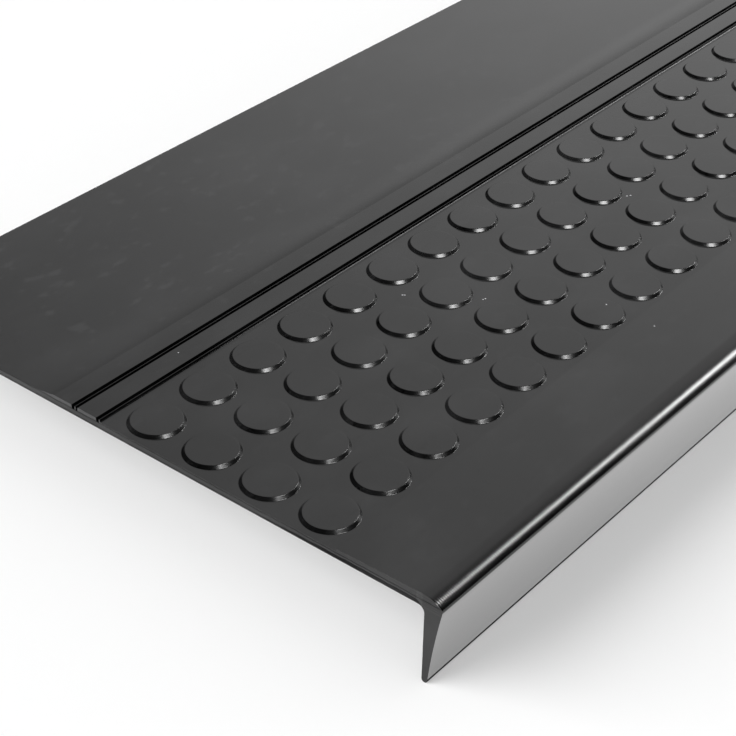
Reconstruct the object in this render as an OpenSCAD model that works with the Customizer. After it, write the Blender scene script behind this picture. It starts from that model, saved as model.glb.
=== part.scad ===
// Rubber stair mat: one moulded length of rubber with round studs, a smooth back panel that thins
// towards its edge, two fine grooves with a thin rib in each between them, and a nose whose lip
// hangs over the step.
// The length runs along X, the nose faces -Y, and the flat underside lies at Z = 0.
// The origin is on the underside, at the middle of the length and of the depth.

/* [Overall size] */
// Length of the mat, along the step
mat_l = 914.4; // [120:0.1:1850]
// Depth of the mat, from the front of the nose to the back edge
mat_d = 316.4; // [260:0.1:450]
// Height of the nose, from the tip of the lip to the top
nose_h = 42.1; // [25:0.1:60]

/* [Thickness] */
// Thickness of the front margin where it meets the nose
nose_t = 6.0; // [5:0.1:9]
// Thickness over the studs, at the strip and at the land behind it
land_t = 4.8; // [4:0.1:8]
// Thickness of the back panel at the foot of its cove
panel_t = 2.9; // [2.2:0.1:3.9]
// Thickness at the back edge
back_t = 2.0; // [1:0.1:2.9]

/* [Studs] */
// Distance between the centres of neighbouring studs, both ways
stud_pitch = 30.48; // [25:0.01:37]
// Number of rows of studs from front to back
stud_rows = 4; // [2:1:5]
// Diameter of a stud at its foot
stud_d = 24.8; // [12:0.1:29.8]
// Height of a stud, and depth of the recess that the studs stand in
stud_h = 1.35; // [1:0.05:1.9]
// Slope of a stud's side
stud_slope = 48; // [35:1:70]
// Radius that rounds the rim of a stud
stud_rim_r = 0.7; // [0.3:0.05:0.85]
// Radius of the cove round the foot of a stud
stud_foot_r = 0.7; // [0.3:0.05:0.85]
// Distance from the front of the nose to the middle of the front row
front_row_in = 64.95; // [54:0.05:80]

/* [Front margin] */
// Width of the smooth margin, from the front of the nose to the studded recess
margin_w = 49.5; // [25:0.1:51]

/* [Grooves] */
// Width of each groove at its top
groove_w = 3.5; // [2.8:0.1:6]
// Depth of each groove, below the strip
groove_depth = 1.8; // [1:0.1:3]
// Amount by which each groove's wall leans in at its floor
groove_draft = 0.15; // [0:0.05:0.3]
// Distance from the front of each groove to the thin rib that stands in it
rib_in = 1.25; // [0.8:0.05:1.6]
// Width of the rib at its top, level with the strip
rib_w = 0.45; // [0.3:0.05:0.8]
// Distance from the middle of the back row to the front groove
front_groove_gap = 15.75; // [14.5:0.05:24]
// Width of the strip between the two grooves
strip_w = 10.6; // [5:0.1:20]

/* [Back panel] */
// Width of the level land behind the rear groove
land_w = 10.25; // [3:0.05:20]
// Width of the hollow cove that leads from the land down to the back panel
cove_w = 18; // [8:0.5:30]

/* [Nose and lip] */
// Radius of the crown that turns the top down towards the nose
crown_r = 17; // [10:0.5:24]
// Angle through which the crown turns
crown_angle = 32; // [25:1:45]
// Radius of the nose's outer edge
nose_edge_r = 2.2; // [1:0.1:3]
// Distance from the front of the nose to the rear face of the lip
lip_root = 8.1; // [7:0.1:12]
// Thickness of the lip at its round tip
lip_tip_t = 2.65; // [1.6:0.05:5]
// Depth of the hollow along the lip's front face
lip_hollow = 0.5; // [0.2:0.1:1.5]
// Radius of the inner corner where the step's edge sits
inner_r = 3; // [1:0.5:8]

/* [Hidden] */

// Front of the nose and back edge
nose_y = -mat_d / 2;
back_y = mat_d / 2;

// Level of the recess that the studs stand in
field_t = land_t - stud_h;

// Studs: as many as fit in the length at their pitch, centred on it
stud_cols = floor(mat_l / stud_pitch + 0.01);
first_stud_x = -(stud_cols - 1) * stud_pitch / 2;
front_row_y = nose_y + front_row_in;
back_row_y = front_row_y + (stud_rows - 1) * stud_pitch;

// Outline of a stud's side, whose foot dips a little into the recess and stands on a root inside it
stud_dip = 0.04;
stud_root = 0.8;
stud_foot = [stud_d / 2, -stud_dip];
stud_side_low = stud_foot + stud_foot_r * [-sin(stud_slope), 1 - cos(stud_slope)];
stud_side_top_z = stud_h - stud_rim_r * (1 - cos(stud_slope));
stud_side_run = (stud_side_top_z - stud_side_low.y) / tan(stud_slope);
stud_side_top = [stud_side_low.x - stud_side_run, stud_side_top_z];
stud_top_r = stud_side_top.x - stud_rim_r * sin(stud_slope);

// Lines along the mat, from front to back. The recess runs back to the rib of the front groove.
recess_y = nose_y + margin_w;
front_groove_y = back_row_y + front_groove_gap;
rear_groove_y = front_groove_y + groove_w + strip_w;
crease_y = rear_groove_y + groove_w + land_w;
cove_end_y = crease_y + cove_w;

// Cove: an arc that runs out along the back panel
cove_drop = land_t - panel_t;
cove_r = (cove_w * cove_w + cove_drop * cove_drop) / (2 * cove_drop);

// Nose: the crown's arc runs on into the round outer edge
edge_in = crown_r - nose_edge_r;
edge_c = [nose_y + nose_edge_r, nose_t - crown_r + edge_in * cos(crown_angle)];
crown_c = [edge_c.x + edge_in * sin(crown_angle), nose_t - crown_r];
crown_end = crown_c + crown_r * [-sin(crown_angle), cos(crown_angle)];

// Lip: its front face touches the outer edge's round and the tip's round
lip_rear_y = nose_y + lip_root;
corner_y = lip_rear_y + inner_r;
tip_r = lip_tip_t / 2;
tip_c = [lip_rear_y - tip_r, nose_t - nose_h + tip_r];
lip_run = tip_c - edge_c;
face_angle = atan2(lip_run.y, lip_run.x) - acos((nose_edge_r - tip_r) / norm(lip_run));
face_normal = [cos(face_angle), sin(face_angle)];
face_top = edge_c + nose_edge_r * face_normal;
face_foot = tip_c + tip_r * face_normal;

// Hollow of the lip's front face: a wide arc through both ends of that face
face_half = norm(face_foot - face_top) / 2;
hollow_r = (face_half * face_half + lip_hollow * lip_hollow) / (2 * lip_hollow);
hollow_c = (face_top + face_foot) / 2 + (hollow_r - lip_hollow) * face_normal;

// How far a cut or a join reaches past the surface it works on
reach = 1;

// The outlines below lie in the section's plane: their first number is Y and their second is Z

// Straight lines of the whole section, with the level tops and the lip's plain rear face
module straight_outline() {
    polygon([
        edge_c,
        crown_end,
        [crown_c.x, nose_t],
        [recess_y, land_t],
        [recess_y, field_t],
        [front_groove_y + rib_in, field_t],
        [front_groove_y + rib_in, land_t],
        [cove_end_y, land_t],
        [cove_end_y, panel_t],
        [back_y, back_t],
        [back_y, 0],
        [corner_y, 0],
        [corner_y, -inner_r],
        [lip_rear_y, -inner_r],
        [lip_rear_y, tip_c.y],
        tip_c,
        face_foot,
        face_top
    ]);
}

// Crown over the nose, between the level top and the outer edge
module crown_outline() {
    intersection() {
        translate(crown_c) circle(r = crown_r, $fn = 240);
        polygon([
            crown_end,
            [crown_end.x, nose_t + reach],
            [crown_c.x, nose_t + reach],
            [crown_c.x, nose_t - reach]
        ]);
    }
}

// One slot of a groove, between a front and a rear line at the level of the strip
module slot_outline(slot_front_y, slot_rear_y) {
    lean = groove_draft / groove_depth;
    polygon([
        [slot_front_y - lean * reach, land_t + reach],
        [slot_front_y + groove_draft, land_t - groove_depth],
        [slot_rear_y - groove_draft, land_t - groove_depth],
        [slot_rear_y + lean * reach, land_t + reach]
    ]);
}

// Whole section of the mat
module section() {
    difference() {
        union() {
            straight_outline();
            crown_outline();
            translate(edge_c) circle(r = nose_edge_r, $fn = 64);
            translate(tip_c) circle(r = tip_r, $fn = 64);
        }
        translate([corner_y, -inner_r]) circle(r = inner_r, $fn = 96);
        slot_outline(front_groove_y + rib_in + rib_w, front_groove_y + groove_w);
        slot_outline(rear_groove_y, rear_groove_y + rib_in);
        slot_outline(rear_groove_y + rib_in + rib_w, rear_groove_y + groove_w);
        translate([cove_end_y, panel_t + cove_r]) circle(r = cove_r, $fn = 720);
        translate(hollow_c) circle(r = hollow_r, $fn = 1440);
    }
}

// One round stud with a sloping side, a rounded rim and a cove at its foot, standing on Z = 0
module stud() {
    rotate_extrude($fn = 96) {
        difference() {
            union() {
                polygon([
                    [0, -stud_root],
                    [stud_foot.x, -stud_root],
                    stud_foot,
                    stud_side_low,
                    stud_side_top,
                    [stud_top_r, stud_h],
                    [0, stud_h]
                ]);
                translate([stud_top_r, stud_h - stud_rim_r]) circle(r = stud_rim_r, $fn = 48);
            }
            translate(stud_foot + [0, stud_foot_r]) circle(r = stud_foot_r, $fn = 96);
        }
    }
}

module stair_tread() {
    color([0.1, 0.1, 0.105]) {
        rotate([90, 0, 90]) linear_extrude(height = mat_l, center = true) section();
        for (col = [0 : stud_cols - 1], row = [0 : stud_rows - 1])
            translate([first_stud_x + col * stud_pitch, front_row_y + row * stud_pitch, field_t]) stud();
    }
}

stair_tread();
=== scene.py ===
"""The rubber stair mat, dressed for its picture: one moulded skin with studs, grooves, nose and lip."""

import math

import bmesh
import bpy
from mathutils import Matrix, Vector


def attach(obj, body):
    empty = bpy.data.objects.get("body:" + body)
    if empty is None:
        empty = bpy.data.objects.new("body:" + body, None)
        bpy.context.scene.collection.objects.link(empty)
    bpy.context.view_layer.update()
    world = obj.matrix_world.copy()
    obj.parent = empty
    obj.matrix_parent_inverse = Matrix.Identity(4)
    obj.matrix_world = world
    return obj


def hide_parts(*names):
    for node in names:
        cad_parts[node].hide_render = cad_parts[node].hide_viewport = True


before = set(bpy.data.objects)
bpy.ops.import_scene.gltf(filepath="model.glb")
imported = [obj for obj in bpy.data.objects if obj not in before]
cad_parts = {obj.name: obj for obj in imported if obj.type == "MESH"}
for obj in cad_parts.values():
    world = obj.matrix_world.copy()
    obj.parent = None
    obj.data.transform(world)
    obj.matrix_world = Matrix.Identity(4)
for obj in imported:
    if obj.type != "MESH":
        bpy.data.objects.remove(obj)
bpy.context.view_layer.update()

MM = 0.001

# Sizes of the mat, as the CAD source gives them, in metres
MAT_LENGTH = 914.4 * MM
MAT_DEPTH = 316.4 * MM
NOSE_HEIGHT = 42.1 * MM
NOSE_THICKNESS = 6.0 * MM
LAND_THICKNESS = 4.8 * MM
PANEL_THICKNESS = 2.9 * MM
BACK_THICKNESS = 2.0 * MM
STUD_PITCH = 30.48 * MM
STUD_ROWS = 4
STUD_COLUMNS = 30
STUD_HEIGHT = 1.35 * MM
STUD_SLOPE = math.radians(48)
FRONT_ROW_IN = 64.95 * MM
MARGIN_WIDTH = 49.5 * MM
GROOVE_WIDTH = 3.5 * MM
GROOVE_DEPTH = 1.8 * MM
GROOVE_DRAFT = 0.15 * MM
RIB_IN = 1.25 * MM
RIB_WIDTH = 0.45 * MM
FRONT_GROOVE_GAP = 15.75 * MM
STRIP_WIDTH = 10.6 * MM
LAND_WIDTH = 10.25 * MM
COVE_WIDTH = 18.0 * MM
CROWN_RADIUS = 17.0 * MM
CROWN_ANGLE = math.radians(32)
NOSE_EDGE_RADIUS = 2.2 * MM
LIP_ROOT = 8.1 * MM
LIP_TIP_RADIUS = 1.325 * MM
LIP_HOLLOW = 0.5 * MM
INNER_RADIUS = 3.0 * MM

# Stud: radius at its foot, and rounding a little finer than the CAD's
STUD_FOOT = 12.35 * MM
STUD_RIM_RADIUS = 0.5 * MM
STUD_FOOT_RADIUS = 0.4 * MM

# Low ramp in front of the front groove's rib
RAMP_RUN = 1.5 * MM
RAMP_RISE = 0.25 * MM

# Fine rounding that the CAD leaves out: how far it reaches from each kind of corner
RAMP_REACH = 0.1 * MM
CORNER_REACH = 0.22 * MM
RECESS_REACH = 0.15 * MM
RIB_REACH = 0.12 * MM

# Places that follow from the sizes
NOSE_Y = -MAT_DEPTH / 2
BACK_Y = MAT_DEPTH / 2
LEFT_X = -MAT_LENGTH / 2
RIGHT_X = MAT_LENGTH / 2
FLOOR_Z = NOSE_THICKNESS - NOSE_HEIGHT
FIELD_Z = LAND_THICKNESS - STUD_HEIGHT
GROOVE_Z = LAND_THICKNESS - GROOVE_DEPTH
FRONT_ROW_Y = NOSE_Y + FRONT_ROW_IN
FIELD_FRONT_Y = FRONT_ROW_Y - STUD_PITCH / 2
FIELD_BACK_Y = FRONT_ROW_Y + (STUD_ROWS - 0.5) * STUD_PITCH
FRONT_GROOVE_Y = FRONT_ROW_Y + (STUD_ROWS - 1) * STUD_PITCH + FRONT_GROOVE_GAP
REAR_GROOVE_Y = FRONT_GROOVE_Y + GROOVE_WIDTH + STRIP_WIDTH
CREASE_Y = REAR_GROOVE_Y + GROOVE_WIDTH + LAND_WIDTH
COVE_END_Y = CREASE_Y + COVE_WIDTH
CORNER_Y = NOSE_Y + LIP_ROOT + INNER_RADIUS

# Mesh steps: each stud's tile has this many edges along a side, and the long body matches them
TILE_EDGES = 10
STEPS_ALONG = STUD_COLUMNS * TILE_EDGES
STUD_STEPS = 4 * TILE_EDGES
STUD_ARC_STEPS = 3
COVE_STEPS = 10
INNER_STEPS = 6
TIP_STEPS = 8
HOLLOW_STEPS = 12
EDGE_STEPS = 6
CROWN_STEPS = 14

# Narrow level rings inside a stud's rim and round its foot, which keep the shading crisp
TOP_RING = 0.5 * MM
FLAT_RING = 0.2 * MM

# Points closer than this are the same, and edges with a steeper fold than this stay sharp
SAME_PLACE = 0.01 * MM
MERGE_GAP = 0.02 * MM
SHARP_FOLD = math.radians(32)

# Directions: along the mat's length, from its nose to its back edge, and up out of its studs
ALONG = Vector((1, 0, 0))
BACKWARDS = Vector((0, 1, 0))
UP = Vector((0, 0, 1))

# Rubber: sizes of its patches along X, Y and Z
MOTTLE_SIZES = (60 * MM, 35 * MM, 35 * MM)
SMUDGE_SIZES = (11 * MM, 6 * MM, 9 * MM)
PIT_SIZES = (5 * MM, 3 * MM, 4 * MM)
GRAIN_SIZES = (1.6 * MM, 1.6 * MM, 1.6 * MM)
DRIFT_SIZES = (25 * MM, 60 * MM, 60 * MM)
WANDER_SIZES = (1, 6 * MM, 1)
STREAK_SIZES = (1, 9 * MM, 0.5 * MM)

# Rubber: how pale the plain surface is, and how much each effect adds to that
PLAIN_PALENESS = 0.0002
MOTTLE_PALENESS = 0.006
PANEL_PALENESS = 0.008
SMUDGE_PALENESS = 0.011
PIT_PALENESS = -0.002
CUT_PALENESS = 0.003
# Painted highlight: how much paler the torn upper part of the cut ends is
TORN_EDGE_HIGHLIGHT = 0.02
LINT_PALENESS = 0.5
TINT = (1.0, 1.0, 1.03)

# Rubber: how rough the plain surface is, and how much each effect adds to that
PLAIN_ROUGHNESS = 0.125
MOTTLE_ROUGHNESS = 0.03
SMUDGE_ROUGHNESS = 0.08
CUT_ROUGHNESS = 0.2
STUD_SIDE_ROUGHNESS = 0.1
NOSE_ROUGHNESS = 0.035
STROKE_ROUGHNESS = 0.055
LINT_ROUGHNESS = 0.9
RUBBER_IOR = 1.47

# Rubber: heights of its fine relief, and the spacing and drift of the strokes across the nose
GRAIN_HEIGHT = 0.006 * MM
STROKE_HEIGHT = 0.02 * MM
LINT_HEIGHT = 0.15 * MM
STROKE_SPACING = 1.12 * MM
STROKE_DRIFT = 9.0

# Knife-cut ends: thickness of the skin that counts as cut, and sizes of its torn lines
CUT_SKIN = 0.02 * MM
CUT_WANDER = 0.8 * MM
LEDGE_DEPTH = 0.22 * MM
UNDERCUT_SLOPE = 0.6

# Bits of lint and dust that lie on the mat: place and radius, and the share of it that is solid
LINT_CORE = 0.6
LINT = (
    (Vector((-302.9, -17.9, 3.5)) * MM, 0.55 * MM),
    (Vector((-302.3, -18.7, 3.5)) * MM, 0.5 * MM),
    (Vector((-282.5, -47.6, 3.5)) * MM, 0.5 * MM),
    (Vector((-281.3, -47.9, 3.5)) * MM, 0.5 * MM),
    (Vector((-161.5, -45.3, 3.5)) * MM, 0.6 * MM),
    (Vector((-159.8, -46.3, 3.5)) * MM, 0.6 * MM),
    (Vector((-252.1, -92.7, 4.8)) * MM, 0.5 * MM),
    (Vector((-253.5, -118.5, 5.0)) * MM, 0.45 * MM),
    (Vector((-401.9, 24.6, 4.8)) * MM, 0.4 * MM),
)

# Surroundings: how white the floor looks, and the soft light that matt surfaces get from all round
FLOOR_WHITENESS = 0.3
FLOOR_ROUGHNESS = 0.9
FLOOR_HALF_SIZE = 6
FLOOR_GAP = 0.05 * MM
SOFT_LIGHT = 0.5
SUN_SPREAD = math.radians(60)
WHITE = (1, 1, 1, 1)
PALE_FLOOR = (0.9, 0.9, 0.9, 1)
BLACK_CLOTH = (0.002, 0.002, 0.002, 1)

# Studio: level of what lies close to the floor, and how its round black wall thins out and is stepped
LOW_Z = -35.5 * MM
SOFT_END = math.radians(18)
ARCH_STEPS = 16
WALL_STEPS = 48

# Camera: the photograph's place, direction and focal length, solved from the studs and the long edges
IMAGE_SIZE = 736
FOCAL_PIXELS = 1888.8
SENSOR_WIDTH_MM = 36
CAMERA_PLACE = Vector((-868.0, -450.5, 454.2)) * MM
CAMERA_TURN = (math.radians(55.4062), math.radians(-0.8424), math.radians(-50.7954))


def draw_line(bm, last, place):
    """Draws a straight line of an outline from its last point and gives its new last point."""
    new = bmesh.ops.extrude_vert_indiv(bm, verts=[last])["verts"][0]
    new.co = place
    return new


def draw_arc(bm, last, centre, axis, turn, steps):
    """Draws an arc of an outline from its last point and gives its new last point."""
    spun = bmesh.ops.spin(bm, geom=[last], cent=centre, axis=axis, angle=turn, steps=steps)
    return next(item for item in spun["geom_last"] if isinstance(item, bmesh.types.BMVert))


def line_to(bm, last, y, z):
    """Draws a straight line of the mat's section to (y, z)."""
    return draw_line(bm, last, Vector((last.co.x, y, z)))


def arc_to(bm, last, centre_y, centre_z, turn, steps):
    """Draws an arc of the mat's section round (centre_y, centre_z)."""
    return draw_arc(bm, last, Vector((last.co.x, centre_y, centre_z)), ALONG, turn, steps)


def round_corners(bm, corners, reach, segments):
    """Rounds the outline at these corners, starting this far from each of them."""
    bmesh.ops.bevel(
        bm,
        geom=corners,
        offset=reach,
        offset_type="OFFSET",
        segments=segments,
        profile=0.5,
        affect="VERTICES",
        material=-1,
    )


def nose_facts():
    """Centres of the nose's and the lip's round parts, and the angle that the lip's front faces."""
    edge_in = CROWN_RADIUS - NOSE_EDGE_RADIUS
    crown_z = NOSE_THICKNESS - CROWN_RADIUS
    edge_y = NOSE_Y + NOSE_EDGE_RADIUS
    edge_z = crown_z + edge_in * math.cos(CROWN_ANGLE)
    crown_y = edge_y + edge_in * math.sin(CROWN_ANGLE)
    tip_y = NOSE_Y + LIP_ROOT - LIP_TIP_RADIUS
    tip_z = FLOOR_Z + LIP_TIP_RADIUS
    run = math.hypot(tip_y - edge_y, tip_z - edge_z)
    lean = math.atan2(tip_z - edge_z, tip_y - edge_y)
    face = lean - math.acos((NOSE_EDGE_RADIUS - LIP_TIP_RADIUS) / run)
    return (edge_y, edge_z), (crown_y, crown_z), (tip_y, tip_z), face


def draw_rib(bm, last, groove_y, rib_tops, corners):
    """Draws the thin rib of the groove that starts at this place, and the slot behind the rib."""
    rib_front = groove_y + RIB_IN
    rib_rear = rib_front + RIB_WIDTH
    last = line_to(bm, last, rib_front, LAND_THICKNESS)
    rib_tops.append(last)
    last = line_to(bm, last, rib_rear, LAND_THICKNESS)
    rib_tops.append(last)
    last = line_to(bm, last, rib_rear + GROOVE_DRAFT, GROOVE_Z)
    last = line_to(bm, last, groove_y + GROOVE_WIDTH - GROOVE_DRAFT, GROOVE_Z)
    last = line_to(bm, last, groove_y + GROOVE_WIDTH, LAND_THICKNESS)
    corners.append(last)
    return last


def draw_grooves(bm, last, ramp_tops, rib_tops, corners):
    """Draws the ramp and rib of the front groove, the strip, and the rear groove with its rib."""
    last = line_to(bm, last, FRONT_GROOVE_Y + RIB_IN - RAMP_RUN, FIELD_Z)
    last = line_to(bm, last, FRONT_GROOVE_Y + RIB_IN, FIELD_Z + RAMP_RISE)
    ramp_tops.append(last)
    last = draw_rib(bm, last, FRONT_GROOVE_Y, rib_tops, corners)
    last = line_to(bm, last, REAR_GROOVE_Y, LAND_THICKNESS)
    corners.append(last)
    last = line_to(bm, last, REAR_GROOVE_Y + GROOVE_DRAFT, GROOVE_Z)
    last = line_to(bm, last, REAR_GROOVE_Y + RIB_IN - GROOVE_DRAFT, GROOVE_Z)
    return draw_rib(bm, last, REAR_GROOVE_Y, rib_tops, corners)


def draw_panel(bm, last, corners):
    """Draws the land, the cove, the back panel and the flat underside."""
    last = line_to(bm, last, CREASE_Y, LAND_THICKNESS)
    drop = LAND_THICKNESS - PANEL_THICKNESS
    cove_radius = (COVE_WIDTH**2 + drop**2) / (2 * drop)
    cove_turn = math.asin(COVE_WIDTH / cove_radius)
    last = arc_to(bm, last, COVE_END_Y, PANEL_THICKNESS + cove_radius, cove_turn, COVE_STEPS)
    back_top = line_to(bm, last, BACK_Y, BACK_THICKNESS)
    back_low = line_to(bm, back_top, BACK_Y, 0)
    corners += [back_top, back_low]
    return line_to(bm, back_low, CORNER_Y, 0)


def draw_nose(bm, last):
    """Draws the inner corner, the lip with its round tip and hollow face, and the nose's crown."""
    (edge_y, edge_z), (crown_y, crown_z), (tip_y, tip_z), face = nose_facts()
    last = arc_to(bm, last, CORNER_Y, -INNER_RADIUS, math.pi / 2, INNER_STEPS)
    last = line_to(bm, last, NOSE_Y + LIP_ROOT, tip_z)
    tip_turn = -face % (2 * math.pi)
    last = arc_to(bm, last, tip_y, tip_z, -tip_turn, TIP_STEPS)
    outward = Vector((math.cos(face), math.sin(face)))
    top = Vector((edge_y, edge_z)) + NOSE_EDGE_RADIUS * outward
    foot = Vector((tip_y, tip_z)) + LIP_TIP_RADIUS * outward
    half = (foot - top).length / 2
    hollow_radius = (half**2 + LIP_HOLLOW**2) / (2 * LIP_HOLLOW)
    hollow = (top + foot) / 2 + (hollow_radius - LIP_HOLLOW) * outward
    hollow_turn = 2 * math.asin(half / hollow_radius)
    last = arc_to(bm, last, hollow.x, hollow.y, hollow_turn, HOLLOW_STEPS)
    crown_start = math.pi / 2 + CROWN_ANGLE
    edge_turn = (face - crown_start) % (2 * math.pi)
    last = arc_to(bm, last, edge_y, edge_z, -edge_turn, EDGE_STEPS)
    return arc_to(bm, last, crown_y, crown_z, -CROWN_ANGLE, CROWN_STEPS)


def draw_outline(bm, x):
    """Draws the mat's section, from behind the studs round the back, the lip and the nose to their front."""
    ramp_tops = []
    rib_tops = []
    corners = []
    last = bm.verts.new((x, FIELD_BACK_Y, FIELD_Z))
    last = draw_grooves(bm, last, ramp_tops, rib_tops, corners)
    last = draw_panel(bm, last, corners)
    last = draw_nose(bm, last)
    last = line_to(bm, last, NOSE_Y + MARGIN_WIDTH, LAND_THICKNESS)
    corners.append(last)
    recess_corner = line_to(bm, last, NOSE_Y + MARGIN_WIDTH, FIELD_Z)
    line_to(bm, recess_corner, FIELD_FRONT_Y, FIELD_Z)
    round_corners(bm, ramp_tops, RAMP_REACH, segments=2)
    round_corners(bm, corners, CORNER_REACH, segments=2)
    round_corners(bm, [recess_corner], RECESS_REACH, segments=2)
    round_corners(bm, rib_tops, RIB_REACH, segments=1)


def flat_ring(point):
    """Place of a foot's outer point on the narrow level ring round it."""
    return point.normalized() * (STUD_FOOT + FLAT_RING)


def tile_border(point):
    """Place of a ring's point on the tile's square border, where the points are evenly spaced."""
    step = round(math.atan2(point.y, point.x) / (2 * math.pi) * STUD_STEPS)
    side = (step + TILE_EDGES // 2) // TILE_EDGES
    along = (step - side * TILE_EDGES) / (TILE_EDGES / 2)
    corner = Vector((1, along, 0)) * (STUD_PITCH / 2)
    return Matrix.Rotation(side * math.pi / 2, 3, "Z") @ corner


def stud_line(bm, last, x, z):
    """Draws a straight line of the stud's outline to (x, z)."""
    return draw_line(bm, last, Vector((x, 0, z)))


def stud_arc(bm, last, x, z, turn):
    """Draws an arc of the stud's outline round (x, z)."""
    return draw_arc(bm, last, Vector((x, 0, z)), BACKWARDS, turn, STUD_ARC_STEPS)


def make_stud_tile():
    """One square tile of the studded field with its stud, as a mesh to copy."""
    bm = bmesh.new()
    last = bm.verts.new((STUD_FOOT, 0, 0))
    last = stud_arc(bm, last, STUD_FOOT, STUD_FOOT_RADIUS, STUD_SLOPE)
    rise = STUD_HEIGHT - (STUD_FOOT_RADIUS + STUD_RIM_RADIUS) * (1 - math.cos(STUD_SLOPE))
    last = stud_line(bm, last, last.co.x - rise / math.tan(STUD_SLOPE), last.co.z + rise)
    rim_x = last.co.x - STUD_RIM_RADIUS * math.sin(STUD_SLOPE)
    last = stud_arc(bm, last, rim_x, STUD_HEIGHT - STUD_RIM_RADIUS, -STUD_SLOPE)
    last = stud_line(bm, last, last.co.x - TOP_RING, last.co.z)
    stud_line(bm, last, 0, last.co.z)
    bmesh.ops.spin(
        bm,
        geom=bm.verts[:] + bm.edges[:],
        cent=(0, 0, 0),
        axis=UP,
        angle=2 * math.pi,
        steps=STUD_STEPS,
        use_merge=True,
    )
    bmesh.ops.remove_doubles(bm, verts=bm.verts[:], dist=SAME_PLACE)
    ring = [edge for edge in bm.edges if edge.is_boundary]
    for place in (flat_ring, tile_border):
        grown = bmesh.ops.extrude_edge_only(bm, edges=ring)["geom"]
        ring = [item for item in grown if isinstance(item, bmesh.types.BMEdge)]
        for vert in (item for item in grown if isinstance(item, bmesh.types.BMVert)):
            vert.co = place(vert.co)
    mesh = bpy.data.meshes.new("stud_tile")
    bm.to_mesh(mesh)
    bm.free()
    return mesh


def lay_studs(bm):
    """Lays the studs' tiles in the recess."""
    tile = make_stud_tile()
    for column in range(STUD_COLUMNS):
        for row in range(STUD_ROWS):
            first = len(bm.verts)
            bm.from_mesh(tile)
            bm.verts.ensure_lookup_table()
            x = LEFT_X + (column + 0.5) * STUD_PITCH
            place = Vector((x, FRONT_ROW_Y + row * STUD_PITCH, FIELD_Z))
            bmesh.ops.translate(bm, verts=bm.verts[first:], vec=place)
    bpy.data.meshes.remove(tile)


def close_end(bm, end_x):
    """Fills the cut end of the mat."""
    rim = [
        edge
        for edge in bm.edges
        if edge.is_boundary and all(abs(vert.co.x - end_x) < SAME_PLACE for vert in edge.verts)
    ]
    bmesh.ops.triangle_fill(bm, edges=rim, use_beauty=True, use_dissolve=False)


def set_shading(bm):
    """Shades the skin smoothly, but for its sharp folds and the crease behind the land."""
    for face in bm.faces:
        face.smooth = True
    for edge in bm.edges:
        on_crease = all(abs(vert.co.y - CREASE_Y) < SAME_PLACE for vert in edge.verts)
        edge.smooth = edge.calc_face_angle(0) < SHARP_FOLD and not on_crease


def add_to_scene(name, bm):
    """Makes an object of this mesh and puts it in the scene."""
    mesh = bpy.data.meshes.new(name)
    bm.to_mesh(mesh)
    bm.free()
    piece = bpy.data.objects.new(name, mesh)
    bpy.context.scene.collection.objects.link(piece)
    return piece


def build_mat():
    """The whole skin of the mat as one closed mesh."""
    bm = bmesh.new()
    draw_outline(bm, LEFT_X)
    bmesh.ops.spin(
        bm,
        geom=bm.verts[:] + bm.edges[:],
        cent=(0, 0, 0),
        axis=ALONG,
        angle=0,
        dvec=Vector((MAT_LENGTH / STEPS_ALONG, 0, 0)),
        steps=STEPS_ALONG,
    )
    lay_studs(bm)
    bmesh.ops.remove_doubles(bm, verts=bm.verts[:], dist=MERGE_GAP)
    for end_x in (LEFT_X, RIGHT_X):
        close_end(bm, end_x)
    bmesh.ops.recalc_face_normals(bm, faces=bm.faces[:])
    set_shading(bm)
    print("mat: open edges", sum(not edge.is_manifold for edge in bm.edges))
    print("mat: volume mm3", bm.calc_volume() / MM**3)
    print("mat: triangles", sum(len(face.verts) - 2 for face in bm.faces))
    mat = add_to_scene("stair_mat", bm)
    even = mat.modifiers.new("even_shading", "WEIGHTED_NORMAL")
    even.keep_sharp = True
    even.weight = 100
    return mat


def new_material(name):
    """A new material: itself, its node tree, its shader, and the socket that its surface goes to."""
    material = bpy.data.materials.new(name)
    material.use_nodes = True
    tree = material.node_tree
    tree.nodes.clear()
    surface = tree.nodes.new("ShaderNodeOutputMaterial").inputs["Surface"]
    shader = tree.nodes.new("ShaderNodeBsdfPrincipled")
    tree.links.new(shader.outputs["BSDF"], surface)
    return material, tree, shader, surface


def feed(tree, value, socket):
    """Feeds a socket from another node, or sets it to a plain value."""
    if isinstance(value, bpy.types.NodeSocket):
        tree.links.new(value, socket)
    else:
        socket.default_value = value


def work_out(tree, operation, first, second=0.0, third=0.0):
    """One step of arithmetic on values over the surface."""
    step = tree.nodes.new("ShaderNodeMath")
    step.operation = operation
    for value, socket in zip((first, second, third), step.inputs):
        feed(tree, value, socket)
    return step.outputs[0]


def work_out_vector(tree, operation, first, second=(0, 0, 0), result="Vector"):
    """One step of arithmetic on directions or places over the surface."""
    step = tree.nodes.new("ShaderNodeVectorMath")
    step.operation = operation
    feed(tree, first, step.inputs[0])
    feed(tree, second, step.inputs[1])
    return step.outputs[result]


def fade(tree, value, start, end, at_start=0.0, at_end=1.0):
    """Turns a value smoothly from one level to another between two points."""
    ramp = tree.nodes.new("ShaderNodeMapRange")
    ramp.interpolation_type = "SMOOTHSTEP"
    feed(tree, value, ramp.inputs["Value"])
    ramp.inputs["From Min"].default_value = start
    ramp.inputs["From Max"].default_value = end
    ramp.inputs["To Min"].default_value = at_start
    ramp.inputs["To Max"].default_value = at_end
    return ramp.outputs["Result"]


def mask_of(tree, *masks):
    """The mask that is left where all of these overlap."""
    left = masks[0]
    for mask in masks[1:]:
        left = work_out(tree, "MULTIPLY", left, mask)
    return left


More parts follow.
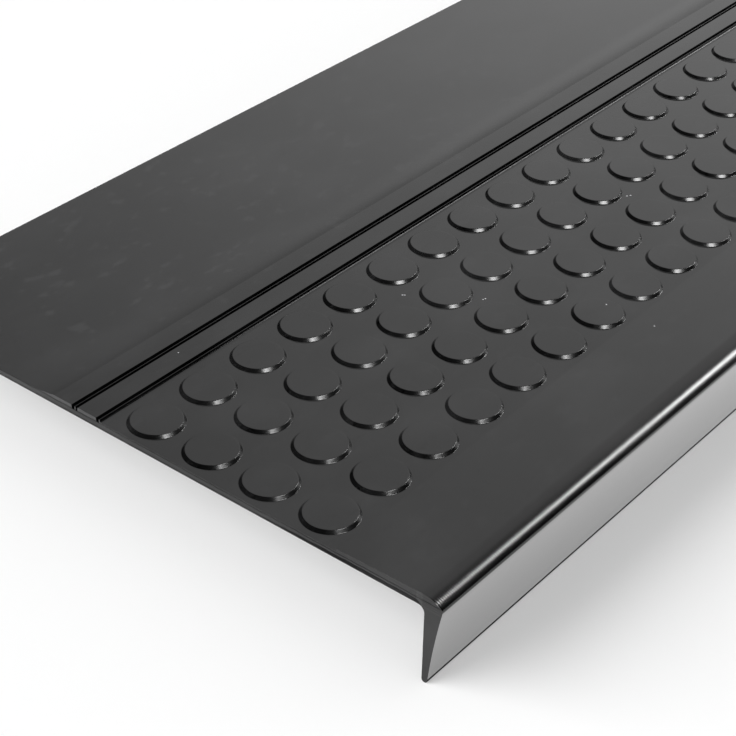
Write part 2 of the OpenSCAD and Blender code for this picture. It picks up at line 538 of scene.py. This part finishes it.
def cloudy(tree, coords, sizes, detail=2.0, shift=0.0):
    """Noise over the surface whose patches have about these sizes along X, Y and Z."""
    mapping = tree.nodes.new("ShaderNodeMapping")
    mapping.inputs["Scale"].default_value = [1 / size for size in sizes]
    mapping.inputs["Location"].default_value = (shift, shift, shift)
    tree.links.new(coords, mapping.inputs["Vector"])
    noise = tree.nodes.new("ShaderNodeTexNoise")
    noise.inputs["Scale"].default_value = 1
    noise.inputs["Detail"].default_value = detail
    tree.links.new(mapping.outputs["Vector"], noise.inputs["Vector"])
    return noise.outputs["Fac"]


def build_up(tree, plain, effects):
    """A plain level with an amount of each effect's mask added to it."""
    level = plain
    for mask, amount in effects:
        level = work_out(tree, "MULTIPLY_ADD", mask, amount, level)
    return level


def lint_mask(tree, coords):
    """1 on each bit of lint."""
    mask = 0.0
    for place, radius in LINT:
        gap = work_out_vector(tree, "DISTANCE", coords, place, "Value")
        spot = fade(tree, gap, start=radius * LINT_CORE, end=radius, at_start=1.0, at_end=0.0)
        mask = work_out(tree, "MAXIMUM", mask, spot)
    return mask


def stud_side_mask(tree, y, z):
    """1 on the sloping sides of the studs."""
    above_foot = fade(tree, z, start=FIELD_Z + 0.05 * MM, end=FIELD_Z + 0.3 * MM)
    below_top = fade(tree, z, start=LAND_THICKNESS, end=LAND_THICKNESS - 0.1 * MM)
    behind_front = fade(tree, y, start=FIELD_FRONT_Y, end=FIELD_FRONT_Y + 1 * MM)
    before_back = fade(tree, y, start=FIELD_BACK_Y, end=FIELD_BACK_Y - 1 * MM)
    return mask_of(tree, above_foot, below_top, behind_front, before_back)


def nose_mask(tree, y, z):
    """1 on the upper part of the nose, over its crown."""
    before_margin = fade(tree, y, start=NOSE_Y + 8.5 * MM, end=NOSE_Y + 6.0 * MM)
    above_lip = fade(tree, z, start=1.5 * MM, end=3.0 * MM)
    return mask_of(tree, before_margin, above_lip)


def nose_strokes(tree, coords, x, nose):
    """Fine strokes across the nose, whose spacing drifts a little along it."""
    drift = work_out(tree, "MULTIPLY", cloudy(tree, coords, DRIFT_SIZES, detail=1.0), STROKE_DRIFT)
    turn = work_out(tree, "MULTIPLY_ADD", x, 2 * math.pi / STROKE_SPACING, drift)
    return work_out(tree, "MULTIPLY", work_out(tree, "SINE", turn), nose)


def cut_face(tree, coords, x, y, z):
    """Mask of the knife-cut ends, with the relief of their torn lines, and the share of their torn upper
    part that gets a painted highlight.
    """
    mask = work_out(tree, "GREATER_THAN", work_out(tree, "ABSOLUTE", x), RIGHT_X - CUT_SKIN)
    wander = work_out(tree, "SUBTRACT", cloudy(tree, coords, WANDER_SIZES, detail=3.0), 0.5)
    height = work_out(tree, "MULTIPLY_ADD", wander, CUT_WANDER, z)

    # A ledge that follows the top edge and dips with the back panel
    ledge_z = fade(tree, y, start=CREASE_Y, end=BACK_Y, at_start=2.9 * MM, at_end=1.5 * MM)
    above = work_out(tree, "SUBTRACT", height, ledge_z)
    ledge = fade(tree, above, start=-0.2 * MM, end=0.2 * MM, at_start=0.0, at_end=-LEDGE_DEPTH)

    # An undercut along the bottom edge that widens towards the nose and ends behind the lip
    undercut = fade(tree, y, start=-60 * MM, end=-115 * MM, at_start=0.8 * MM, at_end=1.9 * MM)
    undercut = work_out(tree, "MULTIPLY", undercut, fade(tree, y, start=-149.5 * MM, end=-146 * MM))
    undercut = work_out(tree, "MINIMUM", undercut, work_out(tree, "MAXIMUM", height, 0.35 * MM))
    undercut = work_out(tree, "MULTIPLY", undercut, -UNDERCUT_SLOPE)

    # Fine streaks along the cut, which fade out down the lip
    streaks = cloudy(tree, coords, STREAK_SIZES, detail=2.0, shift=3.0)
    depth = fade(tree, z, start=-1.0 * MM, end=0.5 * MM, at_start=0.02 * MM, at_end=0.14 * MM)
    streaks = work_out(tree, "MULTIPLY", streaks, depth)
    relief = work_out(tree, "ADD", work_out(tree, "ADD", ledge, undercut), streaks)

    # The torn upper part is paler behind the front groove: a painted highlight along the cut's top edge
    behind = fade(tree, y, start=FRONT_GROOVE_Y - 1 * MM, end=FRONT_GROOVE_Y + 1 * MM)
    pale = mask_of(tree, fade(tree, above, start=0.3 * MM, end=0.7 * MM), behind)
    return mask, relief, pale


def rubber_material():
    """Black moulded rubber, faintly mottled, with a fine grain, drawn nose and knife-cut ends."""
    material, tree, shader, _ = new_material("black_rubber")
    where = tree.nodes.new("ShaderNodeTexCoord").outputs["Object"]
    parts = tree.nodes.new("ShaderNodeSeparateXYZ")
    tree.links.new(where, parts.inputs[0])
    x, y, z = parts.outputs

    # Masks
    mottle = fade(tree, cloudy(tree, where, MOTTLE_SIZES, detail=3.0), start=0.4, end=0.7)
    panel = fade(tree, y, start=REAR_GROOVE_Y, end=COVE_END_Y, at_start=0.25, at_end=1.0)
    smears = cloudy(tree, where, SMUDGE_SIZES, detail=2.0, shift=5.0)
    smudges = mask_of(tree, fade(tree, smears, start=0.58, end=0.72), panel)
    pits = fade(tree, cloudy(tree, where, PIT_SIZES, detail=1.0, shift=9.0), start=0.36, end=0.27)
    cut, cut_relief, torn_highlight = cut_face(tree, where, x, y, z)
    lint = lint_mask(tree, where)
    stud_sides = stud_side_mask(tree, y, z)
    nose = nose_mask(tree, y, z)
    strokes = nose_strokes(tree, where, x, nose)

    # Colour
    paleness = build_up(tree, PLAIN_PALENESS, (
        (mottle, MOTTLE_PALENESS),
        (panel, PANEL_PALENESS),
        (smudges, SMUDGE_PALENESS),
        (pits, PIT_PALENESS),
        # The cut ends are greyer, with a painted highlight on their torn upper part
        (cut, work_out(tree, "MULTIPLY_ADD", torn_highlight, TORN_EDGE_HIGHLIGHT, CUT_PALENESS)),
        (lint, LINT_PALENESS),
    ))
    colour = tree.nodes.new("ShaderNodeCombineColor")
    for socket, tint in zip(colour.inputs, TINT):
        feed(tree, work_out(tree, "MULTIPLY", paleness, tint), socket)
    tree.links.new(colour.outputs["Color"], shader.inputs["Base Color"])

    # Gloss
    roughness = build_up(tree, PLAIN_ROUGHNESS, (
        (mottle, MOTTLE_ROUGHNESS),
        (smudges, SMUDGE_ROUGHNESS),
        (cut, CUT_ROUGHNESS),
        (stud_sides, STUD_SIDE_ROUGHNESS),
        (nose, NOSE_ROUGHNESS),
        (strokes, STROKE_ROUGHNESS),
    ))
    roughness = work_out(tree, "MAXIMUM", roughness, work_out(tree, "MULTIPLY", lint, LINT_ROUGHNESS))
    tree.links.new(roughness, shader.inputs["Roughness"])
    shader.inputs["IOR"].default_value = RUBBER_IOR

    # Relief
    grain = work_out(tree, "MULTIPLY", cloudy(tree, where, GRAIN_SIZES, detail=3.0), GRAIN_HEIGHT)
    relief = build_up(tree, grain, (
        (strokes, STROKE_HEIGHT),
        (cut, cut_relief),
        (lint, LINT_HEIGHT),
    ))
    bump = tree.nodes.new("ShaderNodeBump")
    bump.inputs["Distance"].default_value = 1
    tree.links.new(relief, bump.inputs["Height"])
    tree.links.new(bump.outputs["Normal"], shader.inputs["Normal"])
    return material


def mix_surfaces(tree, share, first, second, surface):
    """Gives a surface this share of the second shader, and the first for the rest."""
    mix = tree.nodes.new("ShaderNodeMixShader")
    feed(tree, share, mix.inputs["Fac"])
    tree.links.new(first, mix.inputs[1])
    tree.links.new(second, mix.inputs[2])
    tree.links.new(mix.outputs["Shader"], surface)


def seen_directly(tree):
    """1 for a ray from the camera, or one that a glossy or clear surface passes on, and else 0."""
    rays = tree.nodes.new("ShaderNodeLightPath").outputs
    seen = work_out(tree, "MAXIMUM", rays["Is Camera Ray"], rays["Is Glossy Ray"])
    return work_out(tree, "MAXIMUM", seen, rays["Is Transmission Ray"])


def floor_material():
    """Pale matt floor that looks nearly white and keeps a light shadow."""
    material, tree, shader, surface = new_material("pale_floor")
    shader.inputs["Base Color"].default_value = PALE_FLOOR
    shader.inputs["Roughness"].default_value = FLOOR_ROUGHNESS
    glow = tree.nodes.new("ShaderNodeEmission")
    glow.inputs["Color"].default_value = WHITE
    glow.inputs["Strength"].default_value = 1.0
    share = work_out(tree, "MULTIPLY", seen_directly(tree), FLOOR_WHITENESS)
    mix_surfaces(tree, share, shader.outputs["BSDF"], glow.outputs["Emission"], surface)
    return material


def build_floor():
    """A wide plain floor just below the lip's tip."""
    bm = bmesh.new()
    bmesh.ops.create_grid(bm, x_segments=2, y_segments=2, size=FLOOR_HALF_SIZE)
    bmesh.ops.translate(bm, verts=bm.verts[:], vec=UP * (FLOOR_Z - FLOOR_GAP))
    floor = add_to_scene("floor", bm)
    floor.data.materials.append(floor_material())


def build_camera():
    """The photograph's view."""
    data = bpy.data.cameras.new("camera")
    data.sensor_width = SENSOR_WIDTH_MM
    data.lens = FOCAL_PIXELS / IMAGE_SIZE * SENSOR_WIDTH_MM
    data.clip_start = 0.01
    data.clip_end = 100
    camera = bpy.data.objects.new("camera", data)
    bpy.context.scene.collection.objects.link(camera)
    camera.location = CAMERA_PLACE
    camera.rotation_euler = CAMERA_TURN
    bpy.context.scene.camera = camera


def area_lamp(name, place, target, length, width, brightness, only_mirrored=False):
    """A soft rectangular lamp turned towards a target, with this brightness to look at."""
    data = bpy.data.lights.new(name, "AREA")
    data.shape = "RECTANGLE"
    data.size = length
    data.size_y = width
    data.energy = brightness * math.pi * length * width
    lamp = bpy.data.objects.new(name, data)
    bpy.context.scene.collection.objects.link(lamp)
    back = (Vector(place) - Vector(target)).normalized()
    side = (ALONG - ALONG.dot(back) * back).normalized()
    turn = Matrix((side, back.cross(side), back)).transposed()
    lamp.matrix_world = Matrix.Translation(place) @ turn.to_4x4()
    lamp.visible_camera = False
    lamp.visible_diffuse = not only_mirrored


def soft_sun(name, azimuth, rise, strength):
    """A very soft light from far away, for matt surfaces only."""
    data = bpy.data.lights.new(name, "SUN")
    data.energy = strength
    data.angle = SUN_SPREAD
    lamp = bpy.data.objects.new(name, data)
    bpy.context.scene.collection.objects.link(lamp)
    lamp.rotation_euler = (0, math.radians(90) - rise, azimuth)
    lamp.visible_glossy = False


def wall_density(tree, middle, half_width):
    """1 on a round wall, thinning out to 0 at both of its ends."""
    where = tree.nodes.new("ShaderNodeTexCoord").outputs["Object"]
    level = work_out_vector(tree, "MULTIPLY", where, (1, 1, 0))
    outward = work_out_vector(tree, "NORMALIZE", level)
    straight = (math.cos(middle), math.sin(middle), 0)
    closeness = work_out_vector(tree, "DOT_PRODUCT", outward, straight, "Value")
    away = work_out(tree, "ARCCOSINE", closeness)
    return fade(tree, away, start=half_width, end=half_width - SOFT_END)


def black_cloth(density=1.0, wall=None):
    """Black cloth that holds back this share of the light, or hangs as a wall with soft ends."""
    material, tree, shader, surface = new_material("black_screen")
    shader.inputs["Base Color"].default_value = BLACK_CLOTH
    shader.inputs["Specular IOR Level"].default_value = 0
    shader.inputs["Roughness"].default_value = 1
    if wall:
        density = wall_density(tree, *wall)
    clear = tree.nodes.new("ShaderNodeBsdfTransparent")
    mix_surfaces(tree, density, clear.outputs["BSDF"], shader.outputs["BSDF"], surface)
    return material


def hang_screen(name, bm, cloth):
    """Hangs a black studio screen that only darkens what the rubber mirrors."""
    screen = add_to_scene(name, bm)
    screen.data.materials.append(cloth)
    screen.visible_camera = False
    screen.visible_diffuse = False
    screen.visible_transmission = False
    screen.visible_shadow = False


def dark_card(name, corner, side, rise, density=1.0):
    """A flat black screen: a rectangle from one corner."""
    bm = bmesh.new()
    vert = bm.verts.new(corner)
    bmesh.ops.spin(bm, geom=[vert], cent=(0, 0, 0), axis=UP, angle=0, dvec=side, steps=1)
    line = bm.verts[:] + bm.edges[:]
    bmesh.ops.spin(bm, geom=line, cent=(0, 0, 0), axis=UP, angle=0, dvec=rise, steps=1)
    hang_screen(name, bm, black_cloth(density))


def dark_room(name, radius, start, end, top):
    """A black wall round one side of the studio that arches over towards its top."""
    bm = bmesh.new()
    outward = Vector((math.cos(start), math.sin(start), 0))
    foot = bm.verts.new(outward * radius + UP * FLOOR_Z)
    arch = bmesh.ops.extrude_vert_indiv(bm, verts=[foot])["verts"][0]
    arch.co = outward * radius
    side = outward.cross(UP)
    bmesh.ops.spin(bm, geom=[arch], cent=(0, 0, 0), axis=side, angle=top, steps=ARCH_STEPS)
    line = bm.verts[:] + bm.edges[:]
    bmesh.ops.spin(bm, geom=line, cent=(0, 0, 0), axis=UP, angle=end - start, steps=WALL_STEPS)
    hang_screen(name, bm, black_cloth(wall=((start + end) / 2, (end - start) / 2)))


def build_world():
    """A white world for the eye and for reflections, and a low even light for matt surfaces."""
    world = bpy.data.worlds.new("studio")
    bpy.context.scene.world = world
    world.use_nodes = True
    tree = world.node_tree
    tree.nodes.clear()
    surface = tree.nodes.new("ShaderNodeOutputWorld").inputs["Surface"]
    soft = tree.nodes.new("ShaderNodeBackground")
    soft.inputs["Color"].default_value = WHITE
    soft.inputs["Strength"].default_value = SOFT_LIGHT
    white = tree.nodes.new("ShaderNodeBackground")
    white.inputs["Color"].default_value = WHITE

    # What the rubber mirrors is dimmer towards the back and near the floor
    parts = tree.nodes.new("ShaderNodeSeparateXYZ")
    tree.links.new(tree.nodes.new("ShaderNodeTexCoord").outputs["Generated"], parts.inputs[0])
    y, z = parts.outputs["Y"], parts.outputs["Z"]
    towards_back = fade(tree, y, start=0.46, end=0.85, at_start=1.0, at_end=0.35)
    near_floor = fade(tree, z, start=0.15, end=0.36, at_start=0.45, at_end=1.0)
    overhead = fade(tree, z, start=0.35, end=0.62, at_start=1.12, at_end=0.95)
    dimmed = mask_of(tree, towards_back, near_floor, overhead)
    strength = tree.nodes.new("ShaderNodeMix")
    strength.inputs["A"].default_value = 1.0
    rays = tree.nodes.new("ShaderNodeLightPath")
    tree.links.new(rays.outputs["Is Glossy Ray"], strength.inputs["Factor"])
    tree.links.new(dimmed, strength.inputs["B"])
    tree.links.new(strength.outputs["Result"], white.inputs["Strength"])
    mix_surfaces(
        tree, seen_directly(tree), soft.outputs["Background"], white.outputs["Background"], surface
    )


def build_light():
    """The studio: its lamps, and the dark screens that the black rubber mirrors."""
    build_world()
    soft_sun("day", azimuth=math.radians(140), rise=math.radians(20), strength=5.6)
    area_lamp(
        "nose_strip",
        place=(1.065, -0.388, 0.8),
        target=(1.035, -0.15, 0),
        length=1.45,
        width=0.115,
        brightness=29,
        only_mirrored=True,
    )
    area_lamp(
        "rim_lamp",
        place=(-0.41, -0.8, 1.01),
        target=(-0.32, 0, 0),
        length=0.58,
        width=0.32,
        brightness=26,
        only_mirrored=True,
    )
    area_lamp(
        "near_bounce",
        place=(0.0, -0.1622, LOW_Z),
        target=(0.0, -0.1622, 1),
        length=1.6,
        width=0.0178,
        brightness=1.2,
    )
    area_lamp(
        "wide_bounce",
        place=(0.47, -0.27, LOW_Z),
        target=(0.47, -0.27, 1),
        length=1.6,
        width=0.2,
        brightness=0.52,
    )
    area_lamp(
        "front_lamp",
        place=(1.05, -0.9, 0.2),
        target=(0.0, -0.15, 0.0),
        length=1.2,
        width=0.5,
        brightness=1.5,
    )
    # A black strip on the floor under and just behind the lip's tip: a painted shadow that the tip mirrors
    # as a dark line along its foot
    dark_card("lip_shadow_card", corner=(-0.457, -0.1533, LOW_Z), side=(0.914, 0, 0), rise=(0, 0.02, 0))
    dark_card("front_card", corner=(-3, -0.9, -0.03), side=(6.5, 0, 0), rise=(0, 0, 1.83))
    dark_card("top_card", corner=(-1, -0.34, 0.9), side=(4, 0, 0), rise=(0, 0.23, 0), density=0.6)
    dark_room(
        "dark_room", radius=3, start=math.radians(66), end=math.radians(345), top=math.radians(82)
    )


mat = build_mat()
mat.data.materials.append(rubber_material())
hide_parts("stair_tread")
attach(mat, "root")

build_floor()
build_camera()
build_light()

bpy.context.scene.view_settings.view_transform = "Standard"
